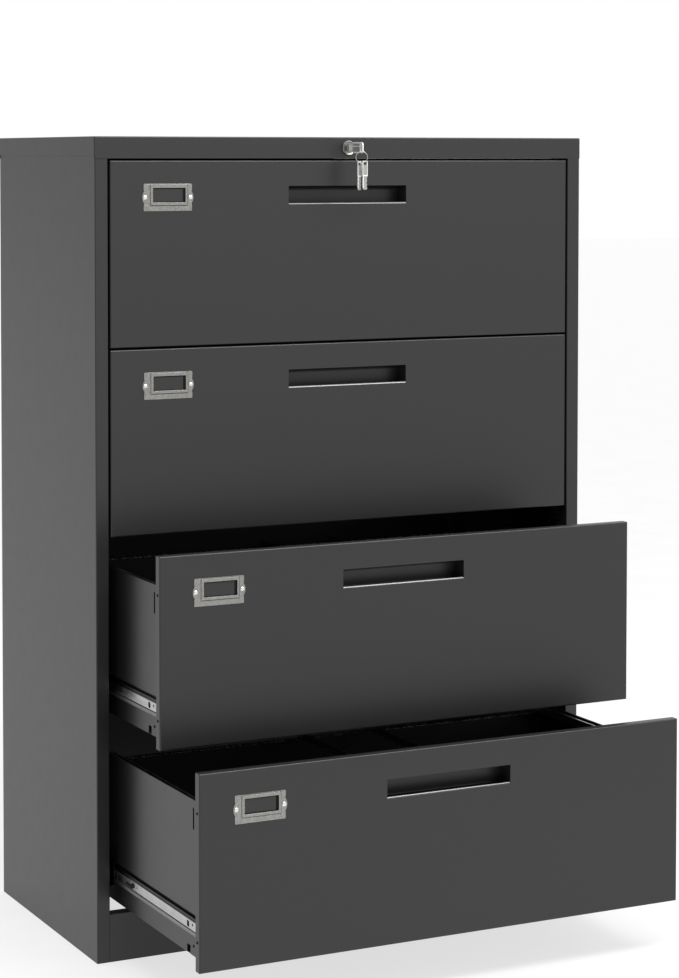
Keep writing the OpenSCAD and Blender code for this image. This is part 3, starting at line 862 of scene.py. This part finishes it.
# ---------------------------------------------------------------- lock
def build_lock():
    """The lock's dished face with a raised rim, its barrel and its nut."""
    lo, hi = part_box("lock_cylinder")
    centre = Vector(((lo.x + hi.x) / 2, 0, (lo.z + hi.z) / 2))
    front = lo.y
    cap_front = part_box("top_cap")[0].y
    face_r, barrel_r, bore_r = 12.5 * MM, 9.5 * MM, 6.0 * MM
    rim_in, dish = 10.6 * MM, 1.3 * MM
    profile = [(bore_r, front + dish + 0.4 * MM), (bore_r + 0.4 * MM, front + dish)]
    profile += [(rim_in - 1.6 * MM * math.cos(a), front + dish - (dish - 0.3 * MM) * math.sin(a))
                for a in (k * math.pi / 12 for k in range(7))]
    profile += [(rim_in + 0.5 * MM, front), (rim_in + 1.1 * MM, front + 0.15 * MM),
                (face_r - 0.3 * MM, front + 0.8 * MM), (face_r, front + 1.5 * MM),
                (face_r, cap_front), (barrel_r, cap_front), (barrel_r, hi.y), (bore_r, hi.y),
                (bore_r, front + dish + 0.4 * MM)]
    shell = lathe([(r, -y) for r, y in profile], centre, "y", 64)
    nut = [(barrel_r + 0.1 * MM, cap_front + 1 * MM), (13 * MM, cap_front + 1 * MM),
           (13 * MM, cap_front + 5 * MM), (barrel_r + 0.1 * MM, cap_front + 5 * MM),
           (barrel_r + 0.1 * MM, cap_front + 1 * MM)]
    nut = lathe([(r, -y) for r, y in nut], centre, "y", 6)
    piece("lock_body", join(shell, nut), "turned", "cabinet", replaces=("lock_cylinder",))
    dress("lock_plug", "turned", 0.1 * MM)


def build_key():
    """The key in the lock: a blade with a shoulder, and a framed bow with a pad at its end."""
    lo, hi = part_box("key")
    cx, cz = (lo.x + hi.x) / 2, (lo.z + hi.z) / 2
    half_t, half_h = (hi.x - lo.x) / 2, (hi.z - lo.z) / 2
    bow_end, blade = lo.y + 38 * MM, 4 * MM
    eye = circle(key_hole().y, key_hole().z, 2.8 * MM, 24)

    # The flat faces take the shaded copy of the nickel, while the frame, ridge, shoulder and blade take
    # the lit copy: painted shade and painted highlight.
    panel = rectangle(lo.y + 0.6 * MM, cz - half_h + 0.6 * MM, bow_end - 0.6 * MM,
                      cz + half_h - 0.6 * MM, 4.2 * MM)
    faces = slab([panel, eye], cx - half_t * 0.55, cx + half_t * 0.55, "x", edge=0.15 * MM)
    piece("key_bow_face", faces, "key_painted_shade", "lock")

    rim = rectangle(lo.y, cz - half_h, bow_end, cz + half_h, 4.8 * MM)
    wide = 2.2 * MM
    opening = rectangle(lo.y + 11 * MM, cz - half_h + wide, bow_end - wide, cz + half_h - wide,
                        1.6 * MM)
    frame_part = slab([rim, opening, eye], cx - half_t, cx + half_t, "x", edge=0.35 * MM)
    ridge = slab([rectangle(lo.y + 10 * MM, cz + 1.6 * MM, bow_end - 1 * MM, cz + 3.2 * MM, 0.4 * MM)],
                 cx - half_t * 0.95, cx + half_t * 0.95, "x", edge=0.3 * MM)
    shoulder = slab([rectangle(bow_end - 2.4 * MM, cz - 6.8 * MM, bow_end, cz + 6.8 * MM, 0.8 * MM)],
                    cx - half_t, cx + half_t, "x", edge=0.3 * MM)
    tip = [(bow_end - 1 * MM, cz - blade), (hi.y - 3 * MM, cz - blade), (hi.y, cz),
           (hi.y - 3 * MM, cz + blade), (bow_end - 1 * MM, cz + blade)]
    shaft = slab([rounded(tip, 0.5 * MM)], cx - half_t * 0.9, cx + half_t * 0.9, "x", edge=0.2 * MM)
    piece("key_in_lock", join(frame_part, ridge, shoulder, shaft), "key_painted_highlight", "lock",
          replaces=("key",))


def key_hole():
    """The hole in the bow of the key in the lock, from which the ring hangs."""
    lo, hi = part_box("key")
    return Vector(((lo.x + hi.x) / 2, lo.y + 5 * MM, (lo.z + hi.z) / 2 - 4.5 * MM))


def key_ring_frame():
    """The ring's middle, the direction across it, and its radius."""
    turn, radius, drop = math.radians(RING_TURN), 9.5 * MM, 1.7 * MM
    middle = key_hole() - Vector((0, 0, drop + radius))
    return middle, Vector((math.cos(turn), math.sin(turn), 0)), radius


def build_key_ring():
    """A split ring: two turns of flattened wire side by side."""
    centre, across, radius = key_ring_frame()
    out = Vector((-across.y, across.x, 0))
    turns, per_turn, sides = 1.9, 64, 8
    wire = 0.42 * MM
    bm = bmesh.new()
    rows = []
    count = int(turns * per_turn)
    for k in range(count + 1):
        a = 2 * math.pi * k / per_turn
        lift = (k / count - 0.5) * 0.9 * MM
        radial = across * math.sin(a) - Vector((0, 0, 1)) * math.cos(a)
        spot = centre + radial * radius + out * lift
        rows.append([bm.verts.new(spot + radial * wire * 1.3 * math.cos(b)
                                  + out * wire * math.sin(b) * 0.8)
                     for b in (2 * math.pi * m / sides for m in range(sides))])
    for first, second in zip(rows, rows[1:]):
        for m in range(sides):
            j = (m + 1) % sides
            bm.faces.new((first[m], first[j], second[j], second[m]))
    bm.faces.new(rows[0][::-1])
    bm.faces.new(rows[-1])
    bmesh.ops.recalc_face_normals(bm, faces=bm.faces)
    ring = piece("split_ring", bm, "ring_steel", "ring_and_keys", replaces=("key_bunch",),
                 smooth=80)
    return ring


def build_spare_keys():
    """Two flat keys of even width on the ring, each with a collar where its blade begins."""
    centre, across, radius = key_ring_frame()
    top, length, collar_at = 4.0 * MM, 47 * MM, -21 * MM
    half_head, half_blade, half_t = 5 * MM, 4.5 * MM, 0.75 * MM
    ring_above = 2.0 * MM
    base = top - length
    faces, edges = [], []
    for angle, turn in SPARE_PLACES:
        a = math.radians(angle)
        hang = centre + across * radius * math.sin(a)
        hang = hang - Vector((0, 0, radius * math.cos(a) + ring_above))
        cuts = [(half_blade - deep * MM, base + (5 + 3 * k) * MM)
                for k, deep in enumerate((1.4, 0.5, 1.8, 0.3, 1.2, 0.6))]
        outline = rounded([(-half_head, collar_at), (-half_blade, collar_at - 1 * MM),
                           (-half_blade, base + 1.5 * MM), (-half_blade + 1.5 * MM, base),
                           (half_blade - 2 * MM, base), (half_blade, base + 2 * MM)] + cuts +
                          [(half_blade, collar_at - 1 * MM), (half_head, collar_at),
                           (half_head, top), (-half_head, top)],
                          [0.5 * MM] * 14 + [2 * MM, 2 * MM])
        eye = rectangle(-3.4 * MM, -2.6 * MM, 3.4 * MM, 2.8 * MM, 2.4 * MM)
        body = slab([outline, eye], -half_t * 0.8, half_t * 0.8, "y", edge=0.15 * MM)
        head_out = rectangle(-half_head, collar_at, half_head, top, 2 * MM)
        head_in = rectangle(-half_head + 1 * MM, collar_at + 1.8 * MM, half_head - 1 * MM, top - 1 * MM,
                            1.2 * MM)
        rim = slab([head_out, head_in], -half_t, half_t, "y", edge=0.2 * MM)
        ridge = rectangle(-half_blade, base + 3 * MM, -half_blade + 1.4 * MM, collar_at, 0.4 * MM)
        spine = slab([ridge], -half_t, half_t, "y", edge=0.2 * MM)
        spin = Matrix.Translation(hang) @ Matrix.Rotation(math.radians(turn + RING_TURN), 4, "Z")
        for part, group in ((body, faces), (rim, edges), (spine, edges)):
            bmesh.ops.transform(part, matrix=spin, verts=part.verts)
            group.append(part)
    replaced = ("key_bunch",)
    # The key faces take the shaded copy of the nickel, while the rims and spines take the lit copy:
    # painted shade and painted highlight.
    return [piece("hanging_keys", join(*faces), "key_painted_shade", "ring_and_keys",
                  replaces=replaced),
            piece("hanging_key_rims", join(*edges), "key_painted_highlight", "ring_and_keys",
                  replaces=replaced)]


# ---------------------------------------------------------------- the scene
make_camera()
make_world()
make_lights()
make_floor()
MATERIALS = make_materials()

build_cap()
build_sides()
build_kick()
for node in ("back_panel", "base_frame", "slide_posts"):
    dress(node, "paint" if node == "back_panel" else "dark_paint", 0)
for node in ("lock_cam", "lock_link", "lock_bar", "lock_hooks"):
    dress(node, "zinc", 0.2 * MM)
build_outer_slides()
for n in DRAWERS:
    build_front(n)
    build_pull(n)
    build_label(n)
    build_front_screws(n)
    build_drawer_sides(n)
    build_inner_slide(n)
    build_middle_slide(n)
    # The drawers' inside parts take the darker copy of the coat, as painted shade.
    dress(f"inner_front_{n}", "dark_paint", 0)
    dress(f"drawer_bottom_{n}", "dark_paint", 0)
    dress(f"drawer_back_{n}", "dark_paint", 0)
    dress(f"hanger_rails_{n}", "zinc", 0.2 * MM)
build_lock()
build_key()
ring = build_key_ring()
spares = build_spare_keys()
for hanging in (ring, *spares):
    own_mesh(hanging)
